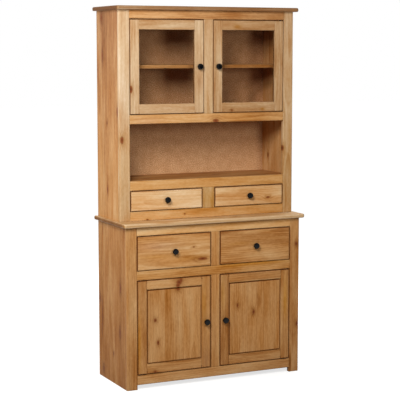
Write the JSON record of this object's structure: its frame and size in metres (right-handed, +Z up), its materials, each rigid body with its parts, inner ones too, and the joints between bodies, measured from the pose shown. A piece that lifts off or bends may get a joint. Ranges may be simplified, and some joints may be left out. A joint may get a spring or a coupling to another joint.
{
  "type": "highboard",
  "caption": "Tall pine dresser: a base with drawers over panelled doors carries a shallower hutch with glazed doors, an open niche and small drawers.",
  "frame": {"origin": "on the floor, in the middle of the base's top seen from above", "axes": "+X to the right seen from the front, the front faces -Y, +Z up"},
  "size_m": [1, 0.4, 1.87],
  "materials": {
    "honey_pine": "waxed honey pine with knots",
    "fibreboard": "brown printed fibreboard",
    "drawer_plywood": "raw plywood",
    "pin_hardwood": "raw beech",
    "clear_glass": "clear float glass",
    "black_knob": "satin black",
    "hinge_steel": "zinc plated",
    "catch_plastic": "brown moulded"
  },
  "bodies": {
    "carcase": {"base_back": "fibreboard", "base_drawer_runners": "honey_pine", "base_floor": "honey_pine", "base_left_side": "honey_pine", "base_rails": "honey_pine", "base_right_side": "honey_pine", "base_shelf": "honey_pine", "base_stiles": "honey_pine", "base_top": "honey_pine", "cupboard_floor": "honey_pine", "cupboard_shelf": "honey_pine", "door_catches": "catch_plastic", "door_pivots": "hinge_steel", "hutch_back": "fibreboard", "hutch_drawer_runners": "honey_pine", "hutch_left_side": "honey_pine", "hutch_rails": "honey_pine", "hutch_right_side": "honey_pine", "hutch_stiles": "honey_pine", "hutch_top": "honey_pine", "niche_floor": "honey_pine", "wooden_pins": "pin_hardwood"},
    "left_panel_door": {"left_panel_door_fittings": "hinge_steel", "left_panel_door_knob": "black_knob", "left_panel_door_panel": "honey_pine", "left_panel_door_rails": "honey_pine", "left_panel_door_stiles": "honey_pine"},
    "right_panel_door": {"right_panel_door_fittings": "hinge_steel", "right_panel_door_knob": "black_knob", "right_panel_door_panel": "honey_pine", "right_panel_door_rails": "honey_pine", "right_panel_door_stiles": "honey_pine"},
    "left_glass_door": {"left_glass_door_beads": "honey_pine", "left_glass_door_fittings": "hinge_steel", "left_glass_door_knob": "black_knob", "left_glass_door_pane": "clear_glass", "left_glass_door_rails": "honey_pine", "left_glass_door_stiles": "honey_pine"},
    "right_glass_door": {"right_glass_door_beads": "honey_pine", "right_glass_door_fittings": "hinge_steel", "right_glass_door_knob": "black_knob", "right_glass_door_pane": "clear_glass", "right_glass_door_rails": "honey_pine", "right_glass_door_stiles": "honey_pine"},
    "left_large_drawer": {"left_large_drawer_bottom": "drawer_plywood", "left_large_drawer_box": "honey_pine", "left_large_drawer_front": "honey_pine", "left_large_drawer_knob": "black_knob"},
    "right_large_drawer": {"right_large_drawer_bottom": "drawer_plywood", "right_large_drawer_box": "honey_pine", "right_large_drawer_front": "honey_pine", "right_large_drawer_knob": "black_knob"},
    "left_small_drawer": {"left_small_drawer_bottom": "drawer_plywood", "left_small_drawer_box": "honey_pine", "left_small_drawer_front": "honey_pine", "left_small_drawer_knob": "black_knob"},
    "right_small_drawer": {"right_small_drawer_bottom": "drawer_plywood", "right_small_drawer_box": "honey_pine", "right_small_drawer_front": "honey_pine", "right_small_drawer_knob": "black_knob"}
  },
  "joints": [
    {"name": "left_panel_door_hinge", "type": "hinge", "parent": "carcase", "child": "left_panel_door", "pos_m": [-0.4075, -0.168, 0.071], "axis": [0, 0, -1], "range_deg": [0, 110]},
    {"name": "right_panel_door_hinge", "type": "hinge", "parent": "carcase", "child": "right_panel_door", "pos_m": [0.4075, -0.168, 0.071], "axis": [0, 0, 1], "range_deg": [0, 110]},
    {"name": "left_glass_door_hinge", "type": "hinge", "parent": "carcase", "child": "left_glass_door", "pos_m": [-0.4075, -0.088, 1.344], "axis": [0, 0, -1], "range_deg": [0, 110]},
    {"name": "right_glass_door_hinge", "type": "hinge", "parent": "carcase", "child": "right_glass_door", "pos_m": [0.4075, -0.088, 1.344], "axis": [0, 0, 1], "range_deg": [0, 110]},
    {"name": "left_large_drawer_slide", "type": "slide", "parent": "carcase", "child": "left_large_drawer", "axis": [0, -1, 0], "range_m": [0, 0.25]},
    {"name": "right_large_drawer_slide", "type": "slide", "parent": "carcase", "child": "right_large_drawer", "axis": [0, -1, 0], "range_m": [0, 0.25]},
    {"name": "left_small_drawer_slide", "type": "slide", "parent": "carcase", "child": "left_small_drawer", "axis": [0, -1, 0], "range_m": [0, 0.18]},
    {"name": "right_small_drawer_slide", "type": "slide", "parent": "carcase", "child": "right_small_drawer", "axis": [0, -1, 0], "range_m": [0, 0.18]}
  ]
}
